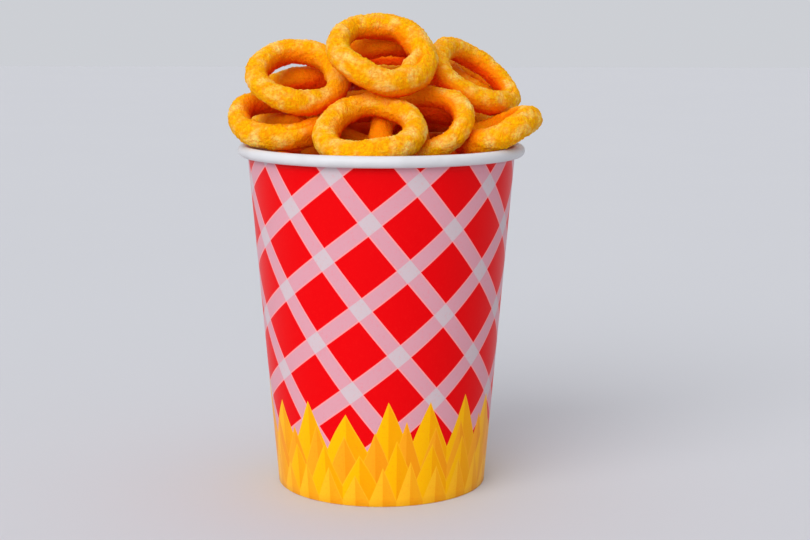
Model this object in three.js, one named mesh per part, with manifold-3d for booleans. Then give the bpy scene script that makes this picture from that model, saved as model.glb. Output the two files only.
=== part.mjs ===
// A side of onion rings, heaped in a tapered paper tub.
// Millimetres, +Z up. The tub stands on z = 0 and the origin is under the middle of the
// whole serving's bounding box.
import * as THREE from "three";
import { mergeVertices } from "three/addons/utils/BufferGeometryUtils.js";
import Module from "manifold-3d";

const wasm = await Module();
wasm.setup();

// ---- The tub: a conical wall with a rolled rim, and a base disc set up inside its foot ----
const TUB_HEIGHT = 175;
const RIM_DIAMETER = 146;
const ROLL_DIAMETER = 5.7;
const WALL_TOP_DIAMETER = 136;
const FOOT_DIAMETER = 107.4;
const PAPER = 0.6;
const FOOT_FOLD = 1.6; // wall, base skirt and turned-in hem pressed together
const FOOT_FOLD_HEIGHT = 8.5;
const BASE_THICKNESS = 0.8;
const CLEARANCE = 0.3;
const WALL_SIDES = 64;

// ---- The food ----
const FILL_LEVEL = 158; // where the packed rings that can't be seen meet the wall
const FILL_CROWN = 174; // and how high they are heaped in the middle
const CROWN_STEPS = 4;
const RING_STATIONS = 26; // sections round a ring
const RING_SIDES = 8; // sides of each section
const SUNK_STATIONS = 20;
const SUNK_SIDES = 7;
const SUNK_SEED = 40;
// How a ring strays from an even one: waves round it, and how much as a share of the measure.
const SPREAD_WAVES = [
  [2, 0.02],
  [3, 0.018],
  [5, 0.01],
];
const THICKNESS_WAVES = [
  [1, 0.06],
  [2, 0.04],
  [3, 0.03],
];
const LIFT_WAVES = 2;
const LIFT = 0.9; // how far it warps out of its plane

// ---- How the heap settles ----
const BEADS = 44; // test spheres round each ring
const TOUCHING = 0.35; // gap that a resting ring keeps, so that no two solids meet
const SINK = 0.12; // how far an unsupported ring drops in one round
const SETTLING_ROUNDS = 260;
const CLEARING_ROUNDS = 260; // last rounds, which only part what still crowds
const TURN_INERTIA = 3; // of the squared ring radius: crowded rings shift more than they turn
const RETURN = 0.2; // share of the way back to its own place that a ring takes in one round
const HOLDS_UP = 0.2; // upward share of a contact's direction from which it counts as support
const REACH_SPARE = 2; // rings further apart than their outlines plus this aren't compared

const rollRadius = ROLL_DIAMETER / 2;
const rollCentre = {
  radius: RIM_DIAMETER / 2 - rollRadius,
  height: TUB_HEIGHT - rollRadius,
};
const taper = (WALL_TOP_DIAMETER - FOOT_DIAMETER) / 2 / rollCentre.height;
const wallOutside = (z) => FOOT_DIAMETER / 2 + taper * z;
const wallInside = (z) => wallOutside(z) - PAPER;

// Rings: outer diameter, thickness, centre x y z, lean from level and bearing of the low side
// (0 is towards the front, 90 to +X). The heap then settles from these places.
const RINGS = {
  ring_top: [57, 13, 0, -13, 219.5, 39, 18],
  ring_upper_left: [54, 12.4, -40.5, -9, 204, 38, 15],
  ring_front: [55.5, 12.6, -5, -42, 181, 30, -3],
  ring_front_right: [53, 11.2, 19.5, -19, 187, 38, -32],
  ring_upper_right: [55.5, 12.2, 45.5, 15, 204, 40, 54],
  ring_lower_left: [54.5, 12.2, -49, -10, 185.5, 23, -4],
  ring_lower_right: [46, 13.4, 55.5, -18, 185, 20, -80],
  ring_inner: [45, 12, -2, 16, 193, 9, 10],
  ring_behind_right: [51, 12.6, 49, 53, 203, 30, 76],
  ring_behind_left: [52, 12.8, -40, 34, 200, 10, 225],
  ring_back_top: [56, 13, -3, 35, 218, 12, 182],
  ring_back: [52, 12.8, 4, 53, 200, 16, 182],
  ring_back_left: [55, 13, -44, 31, 183.5, 4, 225],
  ring_back_right: [55, 13, 32, 43, 186, 13, 160],
};
// Rings half sunk in the fill and joined to it: outer diameter, thickness, x, y, z, lean, bearing.
const SUNK_RINGS = [
  [52, 13, -31, -21, 166, 6, 100],
  [48, 12.6, 37, -13, 167, 6, 60],
  [54, 13, 29, 22, 166, 6, 10],
  [54, 13, -7, 36, 168, 6, 170],
  [53, 13, -35, 13, 166, 6, 250],
  [50, 12.6, 0, 5, 177, 14, 20],
];

// ---- Materials ----
const printedPaper = new THREE.MeshStandardMaterial({ color: 0xd81a1a, roughness: 0.45 });
const boardPaper = new THREE.MeshStandardMaterial({ color: 0xeeeeee, roughness: 0.6 });
const crumb = new THREE.MeshStandardMaterial({ color: 0xe8a02c, roughness: 0.75 });
const deepCrumb = new THREE.MeshStandardMaterial({ color: 0xb9701c, roughness: 0.85 });

// An even but patternless number from 0 to 1 for each ring and each use.
function chance(seed, use) {
  const value = Math.sin(seed * 12.9898 + use * 78.233) * 43758.5453;
  return value - Math.floor(value);
}

// A fried ring's middle line and thickness at an angle: slightly oval, lifted and uneven.
function ringSection(outer, thickness, seed, angle) {
  let use = 0;
  const wave = (count) => Math.cos(count * angle + 2 * Math.PI * chance(seed, use++));
  const uneven = (waves) => waves.reduce((sum, [count, share]) => sum + share * wave(count), 1);
  const spread = ((outer - thickness) / 2) * uneven(SPREAD_WAVES);
  const lift = LIFT * wave(LIFT_WAVES);
  return {
    centre: new THREE.Vector3(Math.cos(angle) * spread, Math.sin(angle) * spread, lift),
    radius: (thickness / 2) * uneven(THICKNESS_WAVES),
  };
}

// The closed surface of one ring, lying level round its own Z axis with its low side at +X.
function ringGeometry(outer, thickness, seed, stations, sides) {
  const points = [];
  const faces = [];
  for (let i = 0; i < stations; i++) {
    const angle = (2 * Math.PI * i) / stations;
    const { centre, radius } = ringSection(outer, thickness, seed, angle);
    for (let j = 0; j < sides; j++) {
      const around = (2 * Math.PI * (j + 0.5)) / sides;
      const out = radius * Math.cos(around);
      points.push(
        centre.x + out * Math.cos(angle),
        centre.y + out * Math.sin(angle),
        centre.z + radius * Math.sin(around),
      );
      const next = (i + 1) % stations;
      const [a, b] = [i * sides + j, next * sides + j];
      const [c, d] = [next * sides + ((j + 1) % sides), i * sides + ((j + 1) % sides)];
      faces.push(a, b, c, a, c, d);
    }
  }
  const geometry = new THREE.BufferGeometry();
  geometry.setAttribute("position", new THREE.Float32BufferAttribute(points, 3));
  geometry.setIndex(faces);
  geometry.computeVertexNormals();
  return geometry;
}

// Tilts an object so that its +X side is low and faces the bearing.
function place(object, x, y, z, lean, bearing) {
  object.position.set(x, y, z);
  object.quaternion.setFromEuler(
    new THREE.Euler(0, THREE.MathUtils.degToRad(lean), THREE.MathUtils.degToRad(bearing - 90), "ZYX"),
  );
}

// A ring as the settling sees it: a mesh to move and a necklace of spheres.
function necklace(object, outer, thickness, seed, give) {
  const beads = [];
  for (let i = 0; i < BEADS; i++) {
    const { centre, radius } = ringSection(outer, thickness, seed, (2 * Math.PI * i) / BEADS);
    beads.push({ home: centre, at: new THREE.Vector3(), radius });
  }
  const spread = (outer - thickness) / 2;
  const home = { position: object.position.clone(), quaternion: object.quaternion.clone() };
  const inertia = TURN_INERTIA * spread ** 2;
  const held = { object, beads, give, home, inertia, reach: outer / 2 + REACH_SPARE };
  follow(held);
  return held;
}

function follow(ring) {
  for (const bead of ring.beads)
    bead.at.copy(bead.home).applyQuaternion(ring.object.quaternion).add(ring.object.position);
}

// How hard a push at a point moves the ring: its own give, more where it can also turn.
function response(ring, point, direction) {
  const turn = point.clone().sub(ring.object.position).cross(direction);
  return { turn, weight: ring.give * (1 + turn.lengthSq() / ring.inertia) };
}

// Moves and turns a ring by its share of a push.
function nudge(ring, turn, direction, amount) {
  const shift = amount * ring.give;
  ring.object.position.addScaledVector(direction, shift);
  const angle = (shift * turn.length()) / ring.inertia;
  if (angle !== 0) {
    const spin = new THREE.Quaternion().setFromAxisAngle(turn.clone().normalize(), angle);
    ring.object.quaternion.premultiply(spin).normalize();
  }
  follow(ring);
}

// The closest beads of two rings, as a gap and the direction that parts them.
function closest(a, b) {
  let best = { gap: Infinity };
  for (const p of a.beads)
    for (const q of b.beads) {
      const gap = p.at.distanceTo(q.at) - p.radius - q.radius;
      if (gap < best.gap) best = { gap, p, q };
    }
  return best;
}

// What the tub leaves free: the gap of one bead to rim, wall or fill, and the way out.
function tubContact(bead) {
  const { x, y, z } = bead.at;
  const radial = Math.hypot(x, y);
  const outward = new THREE.Vector3(x / radial, y / radial, 0);
  const toRoll = new THREE.Vector2(radial - rollCentre.radius, z - rollCentre.height);
  const contacts = [
    {
      gap: toRoll.length() - rollRadius - bead.radius,
      way: outward.clone().multiplyScalar(toRoll.x).setZ(toRoll.y).normalize(),
    },
    { gap: z - bead.radius - fillHeight(radial), way: new THREE.Vector3(0, 0, 1) },
  ];
  if (z < rollCentre.height && radial < rollCentre.radius)
    contacts.push({ gap: wallInside(z) - radial - bead.radius, way: outward.clone().negate() });
  return contacts.reduce((a, b) => (a.gap < b.gap ? a : b));
}

// Lets rings that nothing holds up sink towards each other, the sunk rings or the tub, and
// parts those that crowd.
function settle(rings, sunk) {
  const bodies = [...rings, ...sunk];
  const supports = new Map();
  for (let round = 0; round < SETTLING_ROUNDS + CLEARING_ROUNDS; round++) {
    for (const ring of rings) {
      if (round < SETTLING_ROUNDS) {
        if (!supports.get(ring)) ring.home.position.z -= SINK;
        ring.object.position.lerp(ring.home.position, RETURN);
        ring.object.quaternion.slerp(ring.home.quaternion, RETURN);
        follow(ring);
      }
      supports.set(ring, 0);
    }
    rings.forEach((a, i) => {
      for (const b of bodies.slice(i + 1)) {
        if (a.object.position.distanceTo(b.object.position) > a.reach + b.reach) continue;
        const { gap, p, q } = closest(a, b);
        if (gap > TOUCHING) continue;
        const direction = p.at.clone().sub(q.at).normalize();
        if (direction.z > HOLDS_UP) supports.set(a, supports.get(a) + 1);
        if (direction.z < -HOLDS_UP && supports.has(b)) supports.set(b, supports.get(b) + 1);
        const onA = response(a, p.at, direction);
        const onB = response(b, q.at, direction);
        const push = (TOUCHING - gap) / (onA.weight + onB.weight);
        nudge(a, onA.turn, direction, push);
        nudge(b, onB.turn, direction, -push);
      }
      for (const bead of a.beads) {
        const { gap, way } = tubContact(bead);
        if (gap > TOUCHING) continue;
        if (way.z > HOLDS_UP) supports.set(a, supports.get(a) + 1);
        const { turn, weight } = response(a, bead.at, way);
        nudge(a, turn, way, (TOUCHING - gap) / weight);
      }
    });
  }
}

// Height of the heaped fill at a distance from the tub's axis.
function fillHeight(radial) {
  const share = Math.min(1, radial / wallInside(FILL_LEVEL));
  return FILL_LEVEL + (FILL_CROWN - FILL_LEVEL) * (0.5 + 0.5 * Math.cos(Math.PI * share));
}

// Turns a profile of [radius, height] points, closed on itself, round the tub's axis.
function lathed(profile) {
  const points = profile.map(([r, z]) => new THREE.Vector2(r, z));
  const geometry = new THREE.LatheGeometry([...points, points[0]], WALL_SIDES);
  return geometry.rotateX(Math.PI / 2);
}

// Wall, rolled rim and folded foot, as one sheet of paper.
function tubWallGeometry() {
  const rollSteps = 10;
  const startAngle = THREE.MathUtils.degToRad(-145);
  const endAngle = THREE.MathUtils.degToRad(180);
  const roll = [];
  for (let i = 0; i <= rollSteps; i++) {
    const angle = THREE.MathUtils.lerp(startAngle, endAngle, i / rollSteps);
    roll.push([
      rollCentre.radius + rollRadius * Math.cos(angle),
      rollCentre.height + rollRadius * Math.sin(angle),
    ]);
  }
  const foldTop = FOOT_FOLD_HEIGHT;
  return lathed([
    [wallOutside(0), 0],
    ...roll,
    [wallInside(foldTop), foldTop],
    [wallOutside(foldTop) - FOOT_FOLD, foldTop],
    [wallOutside(0) - FOOT_FOLD, 0],
  ]);
}

// The base disc stands on the hem that is folded into the foot.
const baseLow = FOOT_FOLD_HEIGHT + CLEARANCE;
const baseHigh = baseLow + BASE_THICKNESS;

// The largest radius at a height that keeps clear of the many-sided wall.
const insideTub = (z) => wallInside(z) - CLEARANCE - PAPER;

function baseGeometry() {
  const radius = insideTub(baseLow);
  return lathed([
    [0, baseLow],
    [radius, baseLow],
    [radius, baseHigh],
    [0, baseHigh],
  ]);
}

// The packed rings under the ones that show, as one heaped body.
function fillGeometry() {
  const foot = baseHigh + CLEARANCE;
  const crown = [];
  for (let step = 0; step < CROWN_STEPS; step++) {
    const radial = insideTub(FILL_LEVEL) * (1 - step / CROWN_STEPS);
    crown.push([radial, fillHeight(radial)]);
  }
  return lathed([[0, foot], [insideTub(foot), foot], ...crown, [0, FILL_CROWN]]);
}

function solidOf(geometry, matrix = new THREE.Matrix4()) {
  const bare = geometry.clone().applyMatrix4(matrix);
  bare.deleteAttribute("normal");
  bare.deleteAttribute("uv");
  const merged = mergeVertices(bare, 1e-3);
  return new wasm.Manifold(
    new wasm.Mesh({
      numProp: 3,
      vertProperties: merged.attributes.position.array,
      triVerts: new Uint32Array(merged.index.array),
    }),
  );
}

function geometryOf(solid) {
  const { vertProperties, triVerts } = solid.getMesh();
  const geometry = new THREE.BufferGeometry();
  geometry.setAttribute("position", new THREE.Float32BufferAttribute(vertProperties, 3));
  geometry.setIndex(Array.from(triVerts));
  geometry.computeVertexNormals();
  return geometry;
}

const serving = new THREE.Group();

function addMesh(name, geometry, material) {
  const mesh = new THREE.Mesh(geometry, material.clone());
  mesh.name = name;
  serving.add(mesh);
  return mesh;
}

addMesh("tub_wall", tubWallGeometry(), printedPaper);
addMesh("tub_base", baseGeometry(), boardPaper);

// The fill, with the half-sunk rings joined on.
let fill = solidOf(fillGeometry());
const sunkNecklaces = SUNK_RINGS.map(([outer, thickness, x, y, z, lean, bearing], index) => {
  const seed = SUNK_SEED + index;
  const ring = new THREE.Object3D();
  place(ring, x, y, z, lean, bearing);
  ring.updateMatrix();
  const geometry = ringGeometry(outer, thickness, seed, SUNK_STATIONS, SUNK_SIDES);
  fill = fill.add(solidOf(geometry, ring.matrix));
  return necklace(ring, outer, thickness, seed, 0);
});
addMesh("rings_below", geometryOf(fill), deepCrumb);

const necklaces = Object.entries(RINGS).map(([name, values], index) => {
  const [outer, thickness, x, y, z, lean, bearing] = values;
  const seed = index + 1;
  const geometry = ringGeometry(outer, thickness, seed, RING_STATIONS, RING_SIDES);
  const ring = addMesh(name, geometry, crumb);
  place(ring, x, y, z, lean, bearing);
  return necklace(ring, outer, thickness, seed, 1);
});
settle(necklaces, sunkNecklaces);

// Bring the middle of the serving's bounding box over the origin.
serving.updateMatrixWorld(true);
const middle = new THREE.Box3().setFromObject(serving, true).getCenter(new THREE.Vector3());
serving.position.set(-middle.x, -middle.y, 0);

export default serving;
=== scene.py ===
"""Onion rings side: crumbed rings heaped in a printed paper tub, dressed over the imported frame.

Laid out as an add-on: each operator builds one piece or one group of like pieces.
Measures are metres, unless a comment says millimetres or degrees.
"""

import math

import bpy
import numpy as np
from bpy.props import FloatProperty, FloatVectorProperty, IntProperty, PointerProperty
from mathutils import Euler, Matrix, Vector, noise


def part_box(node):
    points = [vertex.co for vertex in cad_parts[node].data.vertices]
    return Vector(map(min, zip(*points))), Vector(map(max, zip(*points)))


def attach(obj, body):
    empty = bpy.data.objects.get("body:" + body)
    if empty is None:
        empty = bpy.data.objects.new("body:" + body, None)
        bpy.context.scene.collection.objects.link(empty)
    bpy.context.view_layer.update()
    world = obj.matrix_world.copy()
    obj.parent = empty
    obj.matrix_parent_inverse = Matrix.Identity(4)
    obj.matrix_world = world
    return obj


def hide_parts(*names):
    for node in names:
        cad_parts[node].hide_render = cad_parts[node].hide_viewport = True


bl_info = {
    "name": "Onion Rings Side",
    "version": (1, 0, 0),
    "blender": (4, 5, 0),
    "location": "View3D > Sidebar > Onion Rings",
    "description": "Builds crumbed onion rings heaped in a printed paper tub",
    "category": "Add Mesh",
}

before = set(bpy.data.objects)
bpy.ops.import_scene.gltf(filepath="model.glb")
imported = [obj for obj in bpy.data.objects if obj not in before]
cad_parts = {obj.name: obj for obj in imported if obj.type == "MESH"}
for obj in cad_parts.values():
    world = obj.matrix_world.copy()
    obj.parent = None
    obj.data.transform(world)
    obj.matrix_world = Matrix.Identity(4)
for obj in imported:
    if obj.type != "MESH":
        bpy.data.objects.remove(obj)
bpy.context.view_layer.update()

MM = 0.001
TAU = 2 * math.pi

# The loose rings of the heap, each a node of the frame.
RING_NODES = sorted(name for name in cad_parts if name.startswith("ring_"))
# How the frame's rings are cut: sections round the ring, and sides of each section.
FRAME_STATIONS = 26
FRAME_SIDES = 8


def node_middle(name):
    """The middle of a node's box."""
    low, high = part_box(name)
    return (low + high) / 2


AXIS = node_middle("tub_base")  # the tub's own axis, a little off the serving's middle
WALL_LOW, WALL_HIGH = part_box("tub_wall")


# ---- Settings ----


class TubSettings(bpy.types.PropertyGroup):
    """Sizes and colours of the printed paper tub."""

    roll: FloatProperty(
        name="Rim roll", description="Thickness of the rolled rim", default=5.7 * MM, unit="LENGTH"
    )
    foot: FloatProperty(
        name="Foot diameter", description="Outside width at the table", default=107.4 * MM, unit="LENGTH"
    )
    top: FloatProperty(
        name="Wall top diameter",
        description="Outside width of the wall level with the middle of the roll",
        default=136 * MM,
        unit="LENGTH",
    )
    paper: FloatProperty(
        name="Paper", description="Thickness of the paper", default=0.6 * MM, unit="LENGTH"
    )
    fold: FloatProperty(
        name="Foot fold", description="Thickness of the folded foot", default=1.6 * MM, unit="LENGTH"
    )
    fold_height: FloatProperty(
        name="Foot fold height", description="Height of the folded foot", default=8.5 * MM, unit="LENGTH"
    )
    seam_width: FloatProperty(
        name="Seam width", description="Overlap of the sheet's two edges", default=8 * MM, unit="LENGTH"
    )
    blank_middle: FloatProperty(
        name="Middle of the sheet",
        description="Turn round the tub of the middle of the flat sheet, from the front towards +X",
        default=math.radians(77),
        subtype="ANGLE",
    )
    lattice: FloatProperty(
        name="Lattice", description="Distance between the print's bands", default=29.9 * MM, unit="LENGTH"
    )
    band: FloatProperty(
        name="Band", description="Width of a printed band", default=8.4 * MM, unit="LENGTH"
    )
    band_edge: FloatProperty(
        name="Band edge", description="Width of the line along a band", default=0.7 * MM, unit="LENGTH"
    )
    ink: FloatVectorProperty(
        name="Ink", description="Main colour of the print", default=(0.80, 0.0, 0.002), subtype="COLOR"
    )
    thin_ink: FloatVectorProperty(
        name="Thin ink", description="Ink where it lies thinly", default=(0.94, 0.02, 0.01), subtype="COLOR"
    )
    band_tint: FloatVectorProperty(
        name="Bands", description="Colour of one band", default=(0.70, 0.325, 0.385), subtype="COLOR"
    )
    crossing_tint: FloatVectorProperty(
        name="Crossings", description="Where two bands cross", default=(0.62, 0.50, 0.535), subtype="COLOR"
    )
    edge_tint: FloatVectorProperty(
        name="Band edges", description="Line along a band", default=(1.0, 0.33, 0.32), subtype="COLOR"
    )
    board: FloatVectorProperty(
        name="Board", description="Bare paper of rim and inside", default=(0.67, 0.66, 0.68), subtype="COLOR"
    )
    border_low: FloatVectorProperty(
        name="Border, front",
        description="Lowest row of peaks, and the line along every row",
        default=(1.0, 0.50, 0.015),
        subtype="COLOR",
    )
    border_middle: FloatVectorProperty(
        name="Border, middle", description="Second row of peaks", default=(0.97, 0.38, 0.01), subtype="COLOR"
    )
    border_high: FloatVectorProperty(
        name="Border, back", description="First and third rows", default=(1.0, 0.49, 0.0), subtype="COLOR"
    )
    border_shade: FloatVectorProperty(
        name="Border, shade", description="Shaded side of a peak", default=(0.84, 0.25, 0.0), subtype="COLOR"
    )


class RingSettings(bpy.types.PropertyGroup):
    """Sizes and colours of the crumbed rings."""

    stations: IntProperty(
        name="Sections", description="Sections round each loose ring", default=280, min=48, max=400
    )
    sides: IntProperty(name="Sides", description="Sides of each section", default=80, min=16, max=120)
    lump: FloatProperty(
        name="Lump size", description="Distance between soft lumps of batter", default=9 * MM, unit="LENGTH"
    )
    lump_height: FloatProperty(
        name="Lump height", description="Height of the soft lumps", default=0.9 * MM, unit="LENGTH"
    )
    crumb: FloatProperty(
        name="Crumb size", description="Distance between crumbs", default=1.7 * MM, unit="LENGTH"
    )
    crumb_height: FloatProperty(
        name="Crumb height", description="Height of the crumbs", default=0.75 * MM, unit="LENGTH"
    )
    golden: FloatVectorProperty(
        name="Golden", description="Main colour of the crumb", default=(0.97, 0.445, 0.0), subtype="COLOR"
    )
    # Lighter crumb, and also painted soft highlight, more of it on swells.
    pale: FloatVectorProperty(
        name="Pale", description="Lightly fried patches", default=(0.96, 0.66, 0.17), subtype="COLOR"
    )
    # Darker patches of the crumb, and also the painted shade between crumbs.
    brown_and_shade: FloatVectorProperty(
        name="Brown", description="Darker patches", default=(0.86, 0.24, 0.0), subtype="COLOR"
    )
    # Painted shade, in creases and where the rings close each other in.
    amber_shade: FloatVectorProperty(
        name="Amber", description="Oily crumb where rings meet", default=(0.94, 0.25, 0.0), subtype="COLOR"
    )
    # Painted shade, deep between the rings.
    deep: FloatVectorProperty(
        name="Deep", description="Crumb deep between the rings", default=(0.93, 0.08, 0.0), subtype="COLOR"
    )


class StudioSettings(bpy.types.PropertyGroup):
    """Where the camera stands, and the pale studio round the serving."""

    camera_place: FloatVectorProperty(
        name="Camera",
        description="Place of the camera from the tub's axis on the table",
        default=(12.1 * MM, -813.6 * MM, 242.8 * MM),
        subtype="TRANSLATION",
    )
    camera_pitch: FloatProperty(
        name="Pitch",
        description="How far the camera looks down",
        default=math.radians(9.28),
        subtype="ANGLE",
    )
    camera_roll: FloatProperty(
        name="Roll", description="Turn of the camera about its view", default=0.002, subtype="ANGLE"
    )
    lens: FloatProperty(name="Lens", description="Focal length in millimetres", default=71.07)
    floor: FloatVectorProperty(
        name="Floor", description="Colour of the table", default=(0.605, 0.61, 0.64), subtype="COLOR"
    )
    backdrop: FloatVectorProperty(
        name="Backdrop", description="Colour behind the serving", default=(0.61, 0.625, 0.66), subtype="COLOR"
    )
    room_light: FloatProperty(
        name="Room light", description="Light from all round, as a share of the backdrop", default=0.8
    )
    key: FloatProperty(name="Key light", description="Strength of the main light", default=1.5)
    fill: FloatProperty(
        name="Fill light", description="Strength of the low light from the front", default=1.2
    )
    top: FloatProperty(name="Top light", description="Strength of the light from behind", default=0.5)


def settings():
    """The three groups of settings, as stored on the scene."""
    scene = bpy.context.scene
    return scene.onion_tub, scene.onion_rings, scene.onion_studio


# ---- Shader helpers ----

# Sockets of a Mix node that mixes colours.
MIX_SHARE, MIX_FIRST, MIX_SECOND = 0, 6, 7
MIX_COLOUR = 2


class Graph:
    """A node tree being wired: its calls add a node each and give back the output socket."""

    def __init__(self, tree):
        self.tree = tree

    def add(self, kind, inputs=(), output=0, **attributes):
        """A node of this kind, with its attributes set and its inputs fed."""
        node = self.tree.nodes.new(kind)
        for name, value in attributes.items():
            setattr(node, name, value)
        for key, value in dict(inputs).items():
            self.feed(node.inputs[key], value)
        return node.outputs[output]

    def feed(self, socket, value):
        """Links an output to a socket, or sets a colour or number on it."""
        if isinstance(value, bpy.types.NodeSocket):
            self.tree.links.new(value, socket)
        elif socket.type == "RGBA":
            socket.default_value = (*value, 1.0)
        else:
            socket.default_value = value

    def math(self, operation, first, second=0.0):
        return self.add("ShaderNodeMath", {0: first, 1: second}, operation=operation)

    def scaled(self, value, share):
        return self.math("MULTIPLY", value, share)

    def vary(self, base, value, share):
        """A base value with a share of another one added."""
        return self.math("ADD", base, self.scaled(value, share))

    def blend(self, share, first, second):
        """From the first colour to the second by a share."""
        inputs = {MIX_SHARE: share, MIX_FIRST: first, MIX_SECOND: second}
        return self.add("ShaderNodeMix", inputs, output=MIX_COLOUR, data_type="RGBA")

    def band(self, value, low, high, most=1.0):
        """Smoothly from 0 to its most while value passes from low to high."""
        inputs = {"Value": value, "From Min": low, "From Max": high, "To Max": most}
        return self.add("ShaderNodeMapRange", inputs, interpolation_type="SMOOTHSTEP")

    def noise(self, place, size, detail=2.0, roughness=0.5):
        """Soft noise with features of about this size."""
        inputs = {"Vector": place, "Scale": 1 / size, "Detail": detail, "Roughness": roughness}
        return self.add("ShaderNodeTexNoise", inputs)


def new_material(name):
    """A material with only its shader and output, as (material, graph, shader node)."""
    material = bpy.data.materials.new(name)
    material.use_nodes = True
    shader = material.node_tree.nodes["Principled BSDF"]
    return material, Graph(material.node_tree), shader


def new_group(name, inputs, outputs):
    """A shader node group with named number sockets, as (group, graph, input node, output node)."""
    group = bpy.data.node_groups.new(name, "ShaderNodeTree")
    for direction, labels in (("INPUT", inputs), ("OUTPUT", outputs)):
        for label in labels:
            group.interface.new_socket(label, in_out=direction, socket_type="NodeSocketFloat")
    graph = Graph(group)
    start = group.nodes.new("NodeGroupInput")
    end = group.nodes.new("NodeGroupOutput")
    return group, graph, start, end


def place_group(graph, group, inputs):
    """Puts a shared group into a material's tree and gives back its node."""
    node = graph.tree.nodes.new("ShaderNodeGroup")
    node.node_tree = group
    for label, value in inputs.items():
        graph.feed(node.inputs[label], value)
    return node


def feed_bump(graph, shader, height, strength, distance):
    """Gives a shader a bumpy surface."""
    inputs = {"Height": height, "Strength": strength, "Distance": distance}
    graph.feed(shader.inputs["Normal"], graph.add("ShaderNodeBump", inputs))


# ---- Materials ----

PIT_DEPTH = 0.6  # of the grain's cells, against its soft noise
SPECK_SCALE = 0.45  # of the specks' noise, against the grain's
SPECK_EDGE = 0.14  # softness of a speck's edge


def grain_group():
    """Fine uneven grain, shared by crumb and paper: a height and a mask of specks."""
    name = "fine_grain"
    if name in bpy.data.node_groups:
        return bpy.data.node_groups[name]
    group, graph, start, end = new_group(name, ["Size", "Speck"], ["Height", "Specks"])
    place = graph.add("ShaderNodeTexCoord", output="Object")
    scale = graph.math("DIVIDE", 1.0, start.outputs["Size"])
    cells = graph.add("ShaderNodeTexVoronoi", {"Vector": place, "Scale": scale})
    soft = graph.add("ShaderNodeTexNoise", {"Vector": place, "Scale": scale, "Detail": 3.0})
    height = graph.math("SUBTRACT", soft, graph.scaled(cells, PIT_DEPTH))
    graph.feed(end.inputs["Height"], height)
    coarse = graph.scaled(scale, SPECK_SCALE)
    wide = graph.add("ShaderNodeTexNoise", {"Vector": place, "Scale": coarse, "Detail": 2.0})
    rare = graph.math("SUBTRACT", 1.0, start.outputs["Speck"])
    specks = graph.band(wide, rare, graph.math("ADD", rare, SPECK_EDGE))
    graph.feed(end.inputs["Specks"], specks)
    return group


PATCH_SIZE = 6.5 * MM
MOTTLE_SIZE = 2.4 * MM
CRUMB_GRAIN = {"Size": 0.8 * MM, "Speck": 0.46}
# What changes the crumb's colour: where each change begins, where it is full, and how much shows.
# Pale patches: partly lighter crumb at random, partly painted soft highlight.
PALE_AND_HIGHLIGHT_PATCHES = (0.42, 0.84, 0.95)
BROWN_MOTTLE = (0.46, 0.72, 0.55)
CREVICE_SHADE = (0.3, 0.0, 0.5)  # painted shade between the crumbs, by crumb height, from the crumbs down to between them
CREASE_SHADE = (-0.2, -1.0, 0.7)  # painted shade in creases, by the depth of a crease, in millimetres
HEAP_SHADE = (0.25, 0.95)  # painted shade where the rings close each other in, by how far the heap closes a point in
# Painted deep shade, where the heap closes a point in furthest.
DEEPEST_SHADE = (0.95, 2.1)
SWELL_HIGHLIGHT = 0.06  # painted highlight on swells: how much each millimetre of a swell adds to the pale patches
CRUMB_SPECKS = 0.25  # how much of the specks shows
DEEP_SHADE = 0.9  # painted shade: colours of the rings in the tub, against the heap's


def crumb_material(name, shade=1.0):
    """Fried crumb: golden with browner and paler patches, the paler partly painted highlight, more on swells,
    and painted shade between crumbs, in creases and where the heap closes it in.
    """
    _, ring, _ = settings()
    golden, pale, brown_and_shade, amber_shade, deep = (
        [channel * shade for channel in colour]
        for colour in (ring.golden, ring.pale, ring.brown_and_shade, ring.amber_shade, ring.deep)
    )
    material, graph, shader = new_material(name)
    place = graph.add("ShaderNodeTexCoord", output="Object")
    closed, height, folded = (
        graph.add("ShaderNodeAttribute", output="Fac", attribute_name=stored)
        for stored in ("closed_in", "crumb_height", "folded")
    )
    patches = graph.noise(place, PATCH_SIZE, detail=1.2)
    mottle = graph.noise(place, MOTTLE_SIZE, detail=3.0, roughness=0.6)
    grain = place_group(graph, grain_group(), CRUMB_GRAIN)
    colour = golden
    # Mottle and specks are the crumb's own; the pale patches are partly painted highlight; crevices, creases
    # and closing-in are painted shade.
    for share, other in (
        (graph.band(mottle, *BROWN_MOTTLE), brown_and_shade),
        (graph.band(graph.vary(patches, folded, SWELL_HIGHLIGHT), *PALE_AND_HIGHLIGHT_PATCHES), pale),
        (graph.band(height, *CREVICE_SHADE), brown_and_shade),
        (graph.scaled(grain.outputs["Specks"], CRUMB_SPECKS), brown_and_shade),
        (graph.band(folded, *CREASE_SHADE), amber_shade),
        (graph.band(closed, *HEAP_SHADE), amber_shade),
        (graph.band(closed, *DEEPEST_SHADE), deep),
    ):
        colour = graph.blend(share, colour, other)
    graph.feed(shader.inputs["Base Color"], colour)
    graph.feed(shader.inputs["Roughness"], graph.vary(0.45, mottle, 0.3))
    shader.inputs["Specular IOR Level"].default_value = 0.05
    shader.inputs["Subsurface Weight"].default_value = 0.4
    shader.inputs["Subsurface Radius"].default_value = (1.0, 0.3, 0.03)
    shader.inputs["Subsurface Scale"].default_value = 4 * MM
    feed_bump(graph, shader, grain.outputs["Height"], 0.9, 0.6 * MM)
    return material


# The print's two sets of bands: 1 for rising and -1 for falling, and where the first one lies.
BAND_SETS = [(1, 1.83 * MM), (-1, 12.89 * MM)]
PRINT_EDGE = 0.1 * MM  # half the softness of a printed edge


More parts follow.
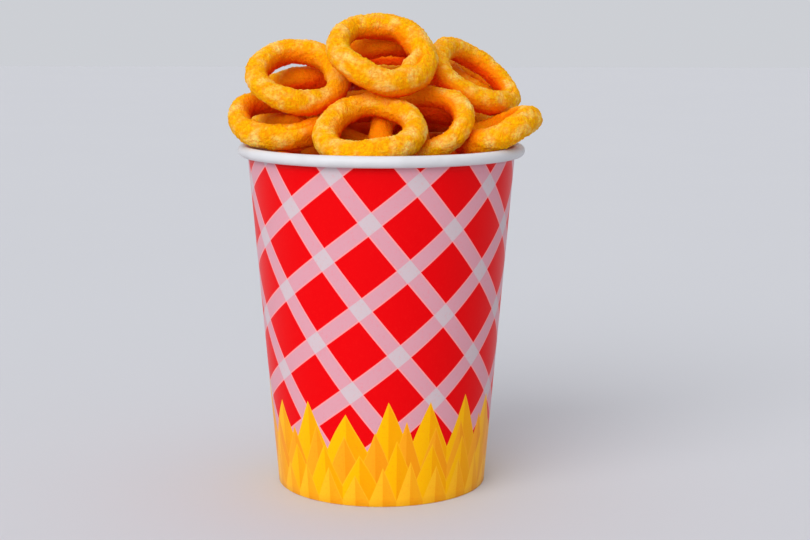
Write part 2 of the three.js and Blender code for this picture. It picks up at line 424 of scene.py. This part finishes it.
def lattice_masks(graph, sheet):
    """Masks of the printed bands, of their crossings and of their edge lines, on the flat sheet."""
    tub, _, _ = settings()
    flat_x = graph.add("ShaderNodeSeparateXYZ", {"Vector": sheet})
    flat_y = flat_x.node.outputs["Y"]
    diagonal = math.sqrt(0.5)
    outer = tub.band / 2
    inner = outer - tub.band_edge
    bands, lines = [], []
    for slant, first in BAND_SETS:
        across = graph.vary(graph.scaled(flat_x, slant * diagonal), flat_y, diagonal)
        turns = graph.math("DIVIDE", graph.math("SUBTRACT", across, first), tub.lattice)
        near = graph.math("ABSOLUTE", graph.math("SUBTRACT", turns, graph.math("ROUND", turns)))
        distance = graph.scaled(near, tub.lattice)
        band = graph.band(distance, outer + PRINT_EDGE, outer - PRINT_EDGE)
        within = graph.band(distance, inner + PRINT_EDGE, inner - PRINT_EDGE)
        bands.append(band)
        lines.append(graph.math("SUBTRACT", band, within))
    either = graph.math("MAXIMUM", *bands)
    both = graph.math("MULTIPLY", *bands)
    lone = graph.math("SUBTRACT", 1.0, both)
    edge = graph.math("MULTIPLY", graph.math("MAXIMUM", *lines), lone)
    return either, both, edge


# Rows of peaks printed along the foot, from the back: colour setting, peaks round the tub, their
# shift as a share of one, height of the dips, and rise of the peaks over them.
BORDER_ROWS = [
    ("border_high", 17, 0.30, 29 * MM, 23 * MM),
    ("border_middle", 23, 0.65, 20 * MM, 20 * MM),
    ("border_high", 19, 0.05, 11 * MM, 20 * MM),
    ("border_low", 25, 0.40, 3 * MM, 17 * MM),
]
# How unevenly the peaks rise: waves round the tub, and how much as a share of the rise.
RISE_WAVES = [(3, 0.12), (8, 0.14)]
PEAK_EDGE = 0.25 * MM  # softness of a peak's edge
OUTLINE_FADE = (0.9 * MM, 1.5 * MM)  # how far in from the edge the outline begins and ends to fade
FAR_HALF = (0.49, 0.51)  # where a peak turns from its lit half to its shaded one
FAR_SHADE, FOOT_SHADE = 0.45, 0.35


def border_row(graph, round_about, peaks, shift, low, rise):
    """Masks of one row of printed peaks, of their shading and of their outline."""
    turn = graph.add("ShaderNodeSeparateXYZ", {"Vector": round_about})
    height = turn.node.outputs["Y"]
    phase = graph.math("ADD", graph.scaled(turn, peaks), shift)
    uneven = 1.0
    for count, share in RISE_WAVES:
        uneven = graph.vary(uneven, graph.math("SINE", graph.scaled(turn, TAU * count)), share)
    full_rise = graph.scaled(uneven, rise * 2)  # because the wave below only reaches one half
    wave = graph.math("PINGPONG", phase, 0.5)
    inside = graph.math("SUBTRACT", graph.math("ADD", graph.scaled(wave, full_rise), low), height)
    mask = graph.band(inside, 0.0, PEAK_EDGE)
    outline = graph.math("SUBTRACT", mask, graph.band(inside, *OUTLINE_FADE))
    far_half = graph.band(graph.math("FRACT", phase), *FAR_HALF, FAR_SHADE)
    foot = graph.band(inside, 0.0, full_rise, FOOT_SHADE)
    return mask, graph.math("ADD", far_half, foot), outline


PRINT_GRAIN = {"Size": 0.5 * MM, "Speck": 0.45}
# How much of the band edges, the border's outlines and the thin ink shows.
EDGE_INK, OUTLINE_INK, THIN_INK = 0.75, 0.6, 0.1


def printed_material():
    """Gloss paper printed with the lattice of pale bands and a border of peaks at the foot."""
    tub, _, _ = settings()
    material, graph, shader = new_material("printed_paper")
    sheet = graph.add("ShaderNodeUVMap", uv_map="sheet")
    round_about = graph.add("ShaderNodeUVMap", uv_map="round")
    grain = place_group(graph, grain_group(), PRINT_GRAIN)
    either, both, edge = lattice_masks(graph, sheet)
    colour = graph.blend(either, tub.ink[:], tub.band_tint[:])
    colour = graph.blend(both, colour, tub.crossing_tint[:])
    colour = graph.blend(graph.scaled(edge, EDGE_INK), colour, tub.edge_tint[:])
    for setting, *measures in BORDER_ROWS:
        mask, shade, outline = border_row(graph, round_about, *measures)
        row = graph.blend(shade, getattr(tub, setting)[:], tub.border_shade[:])
        row = graph.blend(graph.scaled(outline, OUTLINE_INK), row, tub.border_low[:])
        colour = graph.blend(mask, colour, row)
    colour = graph.blend(graph.scaled(grain.outputs["Specks"], THIN_INK), colour, tub.thin_ink[:])
    graph.feed(shader.inputs["Base Color"], colour)
    graph.feed(shader.inputs["Roughness"], graph.vary(0.3, grain.outputs["Height"], 0.08))
    shader.inputs["Specular IOR Level"].default_value = 0.06
    feed_bump(graph, shader, grain.outputs["Height"], 0.08, 0.05 * MM)
    return material


BOARD_GRAIN = {"Size": 0.7 * MM, "Speck": 0.4}
BOARD_CLOUD = 14 * MM  # size of its faint clouds
BOARD_SHADE = 0.93  # colour of clouds and fibres, against the board's
BOARD_SPECKS = 0.12  # how much of the fibres shows


def board_material():
    """Bare white board with a faint fibre, for the rim, the inside and the base."""
    name = "bare_board"
    if name in bpy.data.materials:
        return bpy.data.materials[name]
    tub, _, _ = settings()
    material, graph, shader = new_material(name)
    place = graph.add("ShaderNodeTexCoord", output="Object")
    grain = place_group(graph, grain_group(), BOARD_GRAIN)
    cloud = graph.noise(place, BOARD_CLOUD)
    shaded = [channel * BOARD_SHADE for channel in tub.board]
    colour = graph.blend(graph.band(cloud, 0.4, 0.7), tub.board[:], shaded)
    colour = graph.blend(graph.scaled(grain.outputs["Specks"], BOARD_SPECKS), colour, shaded)
    graph.feed(shader.inputs["Base Color"], colour)
    graph.feed(shader.inputs["Roughness"], graph.vary(0.42, cloud, 0.1))
    feed_bump(graph, shader, grain.outputs["Height"], 0.15, 0.08 * MM)
    return material


# ---- Mesh helpers ----


def new_piece(name, points, faces, materials, slot, *nodes):
    """A mesh object that rides on the serving's one body and stands for CAD nodes."""
    mesh = bpy.data.meshes.new(name)
    mesh.from_pydata([tuple(point) for point in points], [], faces)
    mesh.shade_smooth()
    for material in materials:
        mesh.materials.append(material)
    piece = bpy.data.objects.new(name, mesh)
    bpy.context.scene.collection.objects.link(piece)
    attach(piece, "root")
    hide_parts(*nodes)
    return piece


def grid_faces(rows, columns, close_rows=True):
    """Quads of a grid that is closed along its columns and, unless told not to be, its rows."""
    faces = []
    for i in range(rows if close_rows else rows - 1):
        here, there = i * columns, (i + 1) % rows * columns
        for j in range(columns):
            k = (j + 1) % columns
            faces.append((here + j, there + j, there + k, here + k))
    return faces


def lathe_faces(rows, sides):
    """Faces of a turned body: rows of points from below, then its lowest and highest middle."""
    faces = [tuple(reversed(face)) for face in grid_faces(rows, sides, close_rows=False)]
    last, under, over = (rows - 1) * sides, rows * sides, rows * sides + 1
    for s in range(sides):
        t = (s + 1) % sides
        faces.append((under, t, s))
        faces.append((over, last + s, last + t))
    return faces


def store_value(piece, name, values):
    """Keeps one number for each point, for the material to read."""
    layer = piece.data.attributes.new(name, "FLOAT", "POINT")
    layer.data.foreach_set("value", np.asarray(values, np.float32))


def smooth_loop(samples, count):
    """The smooth closed curve through evenly spaced samples, at a finer count."""
    return np.fft.irfft(np.fft.rfft(samples, axis=0), count, axis=0) * (count / len(samples))


# ---- Rings ----


def frame_ring(name):
    """Middle line, half thicknesses, centre and axis of a ring of the frame."""
    corners = np.array([vertex.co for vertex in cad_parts[name].data.vertices])
    corners = np.unique(np.round(corners, 7), axis=0)
    if len(corners) != FRAME_STATIONS * FRAME_SIDES:
        raise RuntimeError(f"{name} has {len(corners)} corners, so its sections can't be told apart")
    centre = corners.mean(axis=0)
    away = corners - centre
    directions = np.linalg.svd(away, full_matrices=False)[2]
    axis = directions[2] * (1 if directions[2][2] > 0 else -1)
    first = directions[0]
    turn = np.arctan2(away @ np.cross(axis, first), away @ first)
    # Corners of one section lie at nearly the same turn, so the widest gap parts two sections.
    order = np.argsort(turn)
    gaps = np.diff(turn[order], append=turn[order[0]] + TAU)
    order = np.roll(order, -1 - int(np.argmax(gaps)))
    sections = corners[order].reshape(FRAME_STATIONS, FRAME_SIDES, 3)
    middle = sections.mean(axis=1)
    half = np.linalg.norm(sections - middle[:, None], axis=2).mean(axis=1)
    return middle, half, centre, axis


def ring_shape(middle, half, centre, axis, folds, seed, stations, sides):
    """Points, outward directions, crumb heights and folds of one crumbed ring."""
    _, ring, _ = settings()
    middle = smooth_loop(middle, stations)
    half = smooth_loop(half, stations)
    outward = middle - centre
    outward -= np.outer(outward @ axis, axis)
    outward /= np.linalg.norm(outward, axis=1)[:, None]
    low = axis * axis[2] - np.array([0, 0, 1])
    turn = np.arctan2(outward @ np.cross(axis, low), outward @ low)
    around = TAU * np.arange(sides) / sides
    normals = np.cos(around)[None, :, None] * outward[:, None] + np.sin(around)[None, :, None] * axis
    bare = middle[:, None] + half[:, None, None] * normals
    normals = normals.reshape(-1, 3)
    bare = bare.reshape(-1, 3)
    folded = fold_relief(folds, turn, around).reshape(-1)
    shift = Vector([seed * step for step in SEED_STEPS])
    relief = np.array([crumb_relief(ring, Vector(point) + shift) for point in bare])
    points = bare + normals * (relief[:, 0] + folded)[:, None]
    return points, normals, relief[:, 1], folded


# Swells and creases listed one by one: turn from the low side towards +X, its reach, place round the
# tube from the outside over the top, its reach (degrees), and height in millimetres.
FOLDS = {
    "ring_top": [(50, 28, 168, 40, 3.2), (52, 26, 116, 12, -1.9), (16, 20, 95, 30, 0.5)],
    "ring_front": [(-20, 16, 150, 30, 0.8), (165, 14, 120, 26, -0.7)],
    "ring_lower_left": [(25, 20, 70, 9, -1.0), (35, 24, 35, 25, 0.9)],
    "ring_upper_right": [(-60, 24, 150, 30, 0.9), (30, 22, 100, 9, -0.9)],
}
# Folds placed by chance on every ring, two swells, a crease along it and a wrinkle across it:
# the two reaches in degrees, and height in millimetres.
CHANCE_FOLDS = [(22, 40, 0.7), (14, 30, 0.6), (16, 9, -0.8), (4, 45, -0.6)]


def fold_relief(folds, turn, around):
    """How far swells stand out, and creases cut in, at each section and side of a ring."""
    relief = np.zeros((len(turn), len(around)))
    for middle, reach, place, width, height in folds:
        along = np.angle(np.exp(1j * (turn - math.radians(middle)))) / math.radians(reach)
        across = np.angle(np.exp(1j * (around - math.radians(place)))) / math.radians(width)
        relief += height * MM * np.exp(-along[:, None] ** 2 - across[None, :] ** 2)
    return relief


def seeded_folds(seed):
    """The folds that chance gives a ring, each from 0.7 to 1.3 times its usual height."""
    folds = []
    for use, (reach, width, height) in enumerate(CHANCE_FOLDS, start=1):
        turn, place, size = (chance(seed, 10 * use + draw) for draw in range(3))
        folds.append((360 * turn, reach, 360 * place, width, height * (0.7 + 0.6 * size)))
    return folds


SEED_STEPS = (0.37, 0.11, 0.23)  # how far apart two rings' patterns of crumb lie
# Layers of lumps and of crumbs: how much finer than the setting, and share of the height.
LUMP_LAYERS = [(1, 0.8), (2.4, 0.45)]
CRUMB_LAYERS = [(1, 0.62), (1.8, 0.38)]
CRUMB_LEVEL = 0.3  # share of the crumb's height that lies within the bare ring
DRAWN_IN = 0.1 * MM  # how far the whole surface is drawn in, to stay clear of its neighbours
CRUMB_RADIUS = 0.62  # of a crumb in its unit cube
SHORTEST, TALLER, PATTERN = 0.25, 1.9, 3.1  # least height of a crumb, and how chance adds to it


def crumb_at(place):
    """A bed of rounded crumbs, one to each unit cube: 0 between them to 1 on top of the tallest."""
    distances, middles = noise.voronoi(place)
    tallness = min(1.0, SHORTEST + TALLER * abs(noise.noise(middles[0] * PATTERN)))
    return max(0.0, 1 - (distances[0] / CRUMB_RADIUS) ** 2) * tallness


def crumb_relief(ring, place):
    """How far the crumb stands out at a place, and the share of it that is loose crumb."""
    lumps = sum(noise.noise(place / ring.lump * finer) * share for finer, share in LUMP_LAYERS)
    crumb = sum(crumb_at(place / ring.crumb * finer) * share for finer, share in CRUMB_LAYERS)
    return lumps * ring.lump_height + (crumb - CRUMB_LEVEL) * ring.crumb_height - DRAWN_IN, crumb


NEAREST_BEAD = 0.7  # the nearest that a bead is taken to be, in its radii
FULL_BEAD = 1.6  # length of tube for which a bead counts in full, in its radii


# The crumb material paints shade by this measure.
def closed_in(points, normals, beads):
    """How far the heap closes in each point, from 0 in the open; over 1 is deep between the rings."""
    hidden = np.zeros(len(points))
    for place, radius, share in beads:
        gap = place - points
        distance = np.maximum(np.linalg.norm(gap, axis=1), radius * NEAREST_BEAD)
        facing = np.einsum("ij,ij->i", gap, normals) / distance
        hidden += np.clip(facing, 0, 1) * (radius / distance) ** 2 * share
    return hidden


def beads_of(middle, half):
    """A ring as spheres along its middle line: place, radius and share of the tube each stands for."""
    steps = np.linalg.norm(np.roll(middle, -1, axis=0) - middle, axis=1)
    shares = np.minimum(1, steps / (FULL_BEAD * half))
    return list(zip(middle, half, shares))


# Rings that only partly show, below the heap: outer diameter, thickness, x, y, z, lean and bearing
# of the low side, in millimetres and degrees from the tub's axis. The first six are in the frame too.
SUNK_RINGS = [
    (52, 13, -31, -21, 166, 6, 100),
    (48, 12.6, 37, -13, 167, 6, 60),
    (54, 13, 29, 22, 166, 6, 10),
    (54, 13, -7, 36, 168, 6, 170),
    (53, 13, -35, 13, 166, 6, 250),
    (50, 12.6, 0, 5, 177, 14, 20),
]
DEEP_RINGS = [
    (50, 12.5, 4, -38, 158, 9, 30),
    (50, 12.5, 27, -29, 156, 12, 130),
    (50, 12.5, 39, 3, 157, 9, 120),
    (50, 12.5, 18, 37, 160, 12, 200),
    (48, 12.5, 33, 27, 168, 14, 60),
    (50, 12.5, -27, 30, 158, 10, 260),
    (50, 12.5, -40, -4, 157, 9, 330),
    (46, 12.5, 6, -14, 168, 8, 60),
]
SUNK_SEED = 40
SUNK_STATIONS = 20
# How a ring strays from an even one: waves round it, and how much as a share of the measure.
SPREAD_WAVES = [(2, 0.02), (3, 0.018), (5, 0.01)]
THICKNESS_WAVES = [(1, 0.06), (2, 0.04), (3, 0.03)]
LIFT_WAVES = 2
LIFT = 0.9 * MM


def chance(seed, use):
    """An even but patternless number from 0 to 1 for each ring and each use, as in the frame."""
    value = math.sin(seed * 12.9898 + use * 78.233) * 43758.5453
    return value - math.floor(value)


def laid_ring(outer, thickness, x, y, z, lean, bearing, seed):
    """Middle line, half thicknesses, centre and axis of a ring that is laid from listed measures."""
    turn = TAU * np.arange(SUNK_STATIONS) / SUNK_STATIONS
    phases = [TAU * chance(seed, use) for use in range(len(SPREAD_WAVES) + len(THICKNESS_WAVES) + 1)]

    def uneven(waves, first):
        return 1 + sum(
            share * np.cos(count * turn + phases[first + i]) for i, (count, share) in enumerate(waves)
        )

    spread = (outer - thickness) / 2 * MM * uneven(SPREAD_WAVES, 0)
    lift = LIFT * np.cos(LIFT_WAVES * turn + phases[len(SPREAD_WAVES)])
    half = thickness / 2 * MM * uneven(THICKNESS_WAVES, len(SPREAD_WAVES) + 1)
    tilt = Matrix.Rotation(math.radians(bearing - 90), 3, "Z") @ Matrix.Rotation(math.radians(lean), 3, "Y")
    level = np.stack([np.cos(turn) * spread, np.sin(turn) * spread, lift], axis=1)
    centre = np.array([AXIS.x + x * MM, AXIS.y + y * MM, z * MM])
    middle = level @ np.array(tilt).T + centre
    return middle, half, centre, np.array(tilt @ Vector((0, 0, 1)))


def lower_rings():
    """Every ring below the heap, with its seed."""
    rings = enumerate(SUNK_RINGS + DEEP_RINGS, start=SUNK_SEED)
    return [(laid_ring(*values, seed), seed) for seed, values in rings]


def all_beads():
    """Spheres along every ring of the serving."""
    rings = [frame_ring(name) for name in RING_NODES] + [shape for shape, _ in lower_rings()]
    return [bead for middle, half, _, _ in rings for bead in beads_of(middle, half)]


# ---- Tub ----

FOOT_ROUND = 0.3 * MM  # rounding of the foot's edges
FOLD_ROUND = 0.4 * MM  # and of the folded foot's top
UNDER_ROLL = 0.62  # how far below the roll's middle the wall meets it, in the roll's radii
ROLL_SPAN = (math.radians(-140), math.radians(190))  # from under the roll over it to its inside
ROLL_LIP = 1.5 * MM  # how far below the roll's middle the inside begins
WALL_STEPS, ROLL_STEPS, INSIDE_STEPS = 40, 22, 12


def wall_taper():
    """How much wider the wall's radius gets with height."""
    tub, _, _ = settings()
    return (tub.top - tub.foot) / 2 / (WALL_HIGH.z - tub.roll / 2)


def wall_radius(height):
    """Outside radius of the wall at a height."""
    tub, _, _ = settings()
    return tub.foot / 2 + wall_taper() * height


def wall_profile():
    """Outline of the wall's section as (radius, height, printed): up outside and down inside."""
    tub, _, _ = settings()
    roll = tub.roll / 2
    roll_middle = (WALL_HIGH.x - WALL_LOW.x) / 2 - roll
    roll_height = WALL_HIGH.z - roll
    under_roll = roll_height - roll * UNDER_ROLL
    outline = [(wall_radius(0) - FOOT_ROUND, 0.0, True)]
    for i in range(WALL_STEPS + 1):
        height = FOOT_ROUND + (under_roll - FOOT_ROUND) * i / WALL_STEPS
        outline.append((wall_radius(height), height, True))
    start, end = ROLL_SPAN
    for i in range(ROLL_STEPS + 1):
        angle = start + (end - start) * i / ROLL_STEPS
        across, up = roll * math.cos(angle), roll * math.sin(angle)
        outline.append((roll_middle + across, roll_height + up, False))
    inside_top = roll_height - ROLL_LIP
    for i in range(INSIDE_STEPS + 1):
        height = inside_top + (tub.fold_height - inside_top) * i / INSIDE_STEPS
        outline.append((wall_radius(height) - tub.paper, height, False))
    fold_radius = wall_radius(tub.fold_height) - tub.fold
    foot_radius = wall_radius(0) - tub.fold
    outline.append((fold_radius, tub.fold_height - FOLD_ROUND, False))
    outline.append((foot_radius, FOOT_ROUND, False))
    outline.append((foot_radius + FOOT_ROUND, 0.0, False))
    return outline


WALL_SIDES = 288
SEAM_LIFT = 0.35 * MM  # how far the overlap stands out of the wall
SEAM_INSIDE = 0.4  # share of that lift which shows inside
SEAM_SLOPE = 0.25  # share of half the seam's width over which it rises
PRINTED, BARE = 0, 1  # the wall's two materials


def tub_wall():
    """The tub's wall with its rolled rim, folded foot and side seam."""
    tub, _, _ = settings()
    outline = wall_profile()
    taper = wall_taper()
    blank_angle = math.sin(math.atan(taper))  # turn on the flat sheet for each turn of the tub
    apex = tub.foot / 2 / taper  # how far below the table the wall's cone would end
    slant = math.sqrt(1 + taper**2)
    seam_half = tub.seam_width / tub.top
    # The last section repeats the first, so that the sheet's two edges have places of their own.
    points, sheet, about = [], [], []
    for i in range(WALL_SIDES + 1):
        from_middle = -math.pi + TAU * i / WALL_SIDES
        turn = from_middle + tub.blank_middle
        from_seam = math.pi - abs(from_middle)
        lap = SEAM_LIFT * min(1, max(0, (seam_half - from_seam) / (SEAM_SLOPE * seam_half)))
        for radius, height, printed in outline:
            wide = radius + (lap if printed else lap * SEAM_INSIDE)
            points.append((AXIS.x + wide * math.sin(turn), AXIS.y - wide * math.cos(turn), height))
            along = (apex + height) * slant
            flat = from_middle * blank_angle
            sheet.append((along * math.sin(flat), along * math.cos(flat) - apex * slant))
            about.append((turn / TAU, height * slant))
    columns = len(outline)
    closing = WALL_SIDES * columns
    faces, finishes = [], []
    for i in range(WALL_SIDES):
        here, there = i * columns, (i + 1) * columns
        for j in range(columns):
            k = (j + 1) % columns
            faces.append((here + j, there + j, there + k, here + k))
            finishes.append(PRINTED if outline[j][2] and outline[k][2] else BARE)
    welded = [[index % closing for index in face] for face in faces]
    materials = [printed_material(), board_material()]
    piece = new_piece("printed_tub", points[:closing], welded, materials, "printed_paper", "tub_wall")
    for name, places in (("sheet", sheet), ("round", about)):
        layer = piece.data.uv_layers.new(name=name)
        numbers = [number for face in faces for index in face for number in places[index]]
        layer.data.foreach_set("uv", numbers)
    piece.data.polygons.foreach_set("material_index", finishes)


BASE_STEPS, BASE_SIDES = 14, 128
WAVE_UNDER, WAVE_OVER = 0.25 * MM, 0.2 * MM  # how far the disc's two faces wave up and down


def tub_base():
    """The base disc set up inside the foot, pressed into a shallow wave."""
    low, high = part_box("tub_base")
    radius = (high.x - low.x) / 2
    outwards = range(1, BASE_STEPS + 1)
    outline = []
    for level, wave, steps in ((low.z, WAVE_UNDER, outwards), (high.z, WAVE_OVER, reversed(outwards))):
        for i in steps:
            outline.append((radius * i / BASE_STEPS, level + wave * math.cos(TAU * i / BASE_STEPS)))
    points = []
    for wide, height in outline:
        for s in range(BASE_SIDES):
            turn = TAU * s / BASE_SIDES
            points.append((AXIS.x + wide * math.cos(turn), AXIS.y + wide * math.sin(turn), height))
    points += [(AXIS.x, AXIS.y, low.z), (AXIS.x, AXIS.y, high.z)]
    faces = lathe_faces(len(outline), BASE_SIDES)
    new_piece("board_base", points, faces, [board_material()], "plain_board", "tub_base")


# ---- Operators ----

FLOOR_HALF = 6.0  # half the floor's width
FLOOR_CLOUD = 0.3  # size of its faint clouds
FLOOR_SHADE = 0.98  # their colour, against the floor's
# The soft lights: the way towards each, and how wide it is spread, in degrees.
LIGHTS = {
    "key": ((-0.5, -0.85, 0.8), 50),
    "fill": ((-0.4, -0.9, 0.16), 70),
    "top": ((0.1, 0.45, 1.0), 80),
}


class ONION_OT_studio(bpy.types.Operator):
    """Sets up the pale floor, the soft lights and the camera."""

    bl_idname = "onion.studio"
    bl_label = "Studio"

    def execute(self, context):
        _, _, studio = settings()
        camera = bpy.data.objects.new("camera", bpy.data.cameras.new("camera"))
        camera.data.lens = studio.lens
        camera.data.sensor_width = 36
        camera.data.clip_start = 10 * MM
        camera.location = Vector((AXIS.x, AXIS.y, 0)) + Vector(studio.camera_place)
        look = Euler((math.pi / 2 - studio.camera_pitch, 0, 0)).to_matrix()
        camera.rotation_euler = (look @ Matrix.Rotation(studio.camera_roll, 3, "Z")).to_euler()
        context.scene.collection.objects.link(camera)
        context.scene.camera = camera
        context.scene.view_settings.view_transform = "Standard"
        pale_floor(studio)
        lit_room(studio)
        for name, (source, spread) in LIGHTS.items():
            soft_light(name, Vector(source), math.radians(spread), getattr(studio, name))
        return {"FINISHED"}


def pale_floor(studio):
    """The floor, in faint clouds of its colour."""
    material, graph, shader = new_material("pale_floor")
    place = graph.add("ShaderNodeTexCoord", output="Object")
    shaded = [channel * FLOOR_SHADE for channel in studio.floor]
    colour = graph.blend(graph.noise(place, FLOOR_CLOUD), studio.floor[:], shaded)
    graph.feed(shader.inputs["Base Color"], colour)
    shader.inputs["Roughness"].default_value = 0.8
    mesh = bpy.data.meshes.new("floor")
    corners = [(x * FLOOR_HALF, y * FLOOR_HALF, 0) for x, y in ((-1, -1), (1, -1), (1, 1), (-1, 1))]
    mesh.from_pydata(corners, [], [(0, 1, 2, 3)])
    mesh.materials.append(material)
    floor = bpy.data.objects.new("floor", mesh)
    bpy.context.scene.collection.objects.link(floor)


def lit_room(studio):
    """Light from all round, which the camera sees as the brighter backdrop."""
    world = bpy.data.worlds.new("studio")
    world.use_nodes = True
    graph = Graph(world.node_tree)
    background = world.node_tree.nodes["Background"]
    background.inputs["Color"].default_value = (*studio.backdrop, 1)
    seen = graph.add("ShaderNodeLightPath", output="Is Camera Ray")
    inputs = {"Value": seen, "To Min": studio.room_light, "To Max": 1.0}
    graph.feed(background.inputs["Strength"], graph.add("ShaderNodeMapRange", inputs))
    bpy.context.scene.world = world


def soft_light(name, source, spread, strength):
    """Even soft light from a direction, spread like a very large lamp far away."""
    lamp = bpy.data.lights.new(name, "SUN")
    lamp.energy = strength
    lamp.angle = spread
    light = bpy.data.objects.new(name, lamp)
    light.location = source
    light.rotation_euler = (-source).to_track_quat("-Z", "Y").to_euler()
    bpy.context.scene.collection.objects.link(light)


class ONION_OT_tub(bpy.types.Operator):
    """Builds the printed wall of the tub and its base."""

    bl_idname = "onion.tub"
    bl_label = "Paper tub"

    def execute(self, context):
        tub_wall()
        tub_base()
        return {"FINISHED"}


class ONION_OT_rings(bpy.types.Operator):
    """Builds the crumbed rings of the heap, each over its own node."""

    bl_idname = "onion.rings"
    bl_label = "Heaped rings"

    def execute(self, context):
        _, ring, _ = settings()
        material = crumb_material("crumb")
        beads = all_beads()
        faces = grid_faces(ring.stations, ring.sides)
        for seed, name in enumerate(RING_NODES):
            folds = FOLDS.get(name, []) + seeded_folds(seed)
            points, normals, heights, folded = ring_shape(
                *frame_ring(name), folds, seed, ring.stations, ring.sides
            )
            piece = new_piece(f"crumbed_{name}", points, faces, [material], "crumb", name)
            store_value(piece, "crumb_height", heights)
            store_value(piece, "folded", folded / MM)
            store_value(piece, "closed_in", closed_in(points, normals, beads))
        return {"FINISHED"}


LOWER_STATIONS, LOWER_SIDES = 120, 40
LEAST_CLOSED = 0.35  # everything in the tub is closed in at least this far, so it is painted at least this much shade


class ONION_OT_lower_rings(bpy.types.Operator):
    """Builds the rings that fill the tub below the heap, over a crumbed core."""

    bl_idname = "onion.lower_rings"
    bl_label = "Rings in the tub"

    def execute(self, context):
        ring_faces = grid_faces(LOWER_STATIONS, LOWER_SIDES)
        bodies = [
            (ring_shape(*shape, seeded_folds(seed), seed, LOWER_STATIONS, LOWER_SIDES), ring_faces)
            for shape, seed in lower_rings()
        ]
        bodies.append(core_shape())
        faces, first = [], 0
        for shape, body_faces in bodies:
            faces += [tuple(first + index for index in face) for face in body_faces]
            first += len(shape[0])
        points, normals, heights, folded = map(np.concatenate, zip(*(shape for shape, _ in bodies)))
        # Painted shade: the rings in the tub get a darker copy of the crumb.
        material = crumb_material("deep_crumb", DEEP_SHADE)
        piece = new_piece("crumbed_rings_below", points, faces, [material], "deep_crumb", "rings_below")
        store_value(piece, "crumb_height", heights)
        store_value(piece, "folded", folded / MM)
        closeness = closed_in(points, normals, all_beads())
        store_value(piece, "closed_in", np.maximum(closeness, LEAST_CLOSED))
        return {"FINISHED"}


CORE_EDGE = 152 * MM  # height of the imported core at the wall
CORE_TOP = 165 * MM  # and in the middle
CORE_GAP = 0.6 * MM  # between the core and the paper
CORE_SIDES, CORE_STEPS = 160, 30
CORE_LUMPS = [(14 * MM, 5 * MM), (5 * MM, 2 * MM)]  # sizes and heights of its lumps


def core_shape():
    """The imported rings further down, as one body with a lumpy top: its shape and its faces."""
    tub, _, _ = settings()
    low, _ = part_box("rings_below")
    foot_radius, edge_radius = (
        wall_radius(height) - tub.paper - CORE_GAP for height in (low.z, CORE_EDGE)
    )
    outline = [(foot_radius, low.z), (edge_radius, CORE_EDGE)]
    for i in range(1, CORE_STEPS):
        share = 1 - i / CORE_STEPS
        heaped = 0.5 + 0.5 * math.cos(math.pi * share)
        outline.append((edge_radius * share, CORE_EDGE + (CORE_TOP - CORE_EDGE) * heaped))
    points = []
    for radius, height in outline:
        for s in range(CORE_SIDES):
            turn = TAU * s / CORE_SIDES
            spot = Vector((radius * math.cos(turn), radius * math.sin(turn), height))
            if height > low.z:
                spot.z += sum(lump * noise.noise(spot / size) for size, lump in CORE_LUMPS)
            points.append((AXIS.x + spot.x, AXIS.y + spot.y, spot.z))
    points += [(AXIS.x, AXIS.y, low.z), (AXIS.x, AXIS.y, CORE_TOP)]
    upward = np.tile([0.0, 0.0, 1.0], (len(points), 1))
    plain = np.zeros(len(points))  # neither crumb height nor folds
    return (np.array(points), upward, plain, plain), lathe_faces(len(outline), CORE_SIDES)


class ONION_PT_panel(bpy.types.Panel):
    """Lists the steps that build the serving, with their settings."""

    bl_idname = "ONION_PT_panel"
    bl_label = "Onion Rings Side"
    bl_space_type = "VIEW_3D"
    bl_region_type = "UI"
    bl_category = "Onion Rings"

    def draw(self, context):
        for operator in OPERATORS:
            self.layout.operator(operator.bl_idname)
        for group in settings():
            box = self.layout.box()
            for name in group.bl_rna.properties.keys():
                if name not in ("rna_type", "name"):
                    box.prop(group, name)


OPERATORS = [ONION_OT_studio, ONION_OT_tub, ONION_OT_rings, ONION_OT_lower_rings]
CLASSES = [TubSettings, RingSettings, StudioSettings, *OPERATORS, ONION_PT_panel]


def register():
    for each in CLASSES:
        bpy.utils.register_class(each)
    bpy.types.Scene.onion_tub = PointerProperty(type=TubSettings)
    bpy.types.Scene.onion_rings = PointerProperty(type=RingSettings)
    bpy.types.Scene.onion_studio = PointerProperty(type=StudioSettings)


def unregister():
    del bpy.types.Scene.onion_studio
    del bpy.types.Scene.onion_rings
    del bpy.types.Scene.onion_tub
    for each in reversed(CLASSES):
        bpy.utils.unregister_class(each)


def main():
    """Registers the add-on and builds every piece in order."""
    register()
    bpy.ops.onion.studio()
    bpy.ops.onion.tub()
    bpy.ops.onion.rings()
    bpy.ops.onion.lower_rings()


if __name__ == "__main__":
    main()
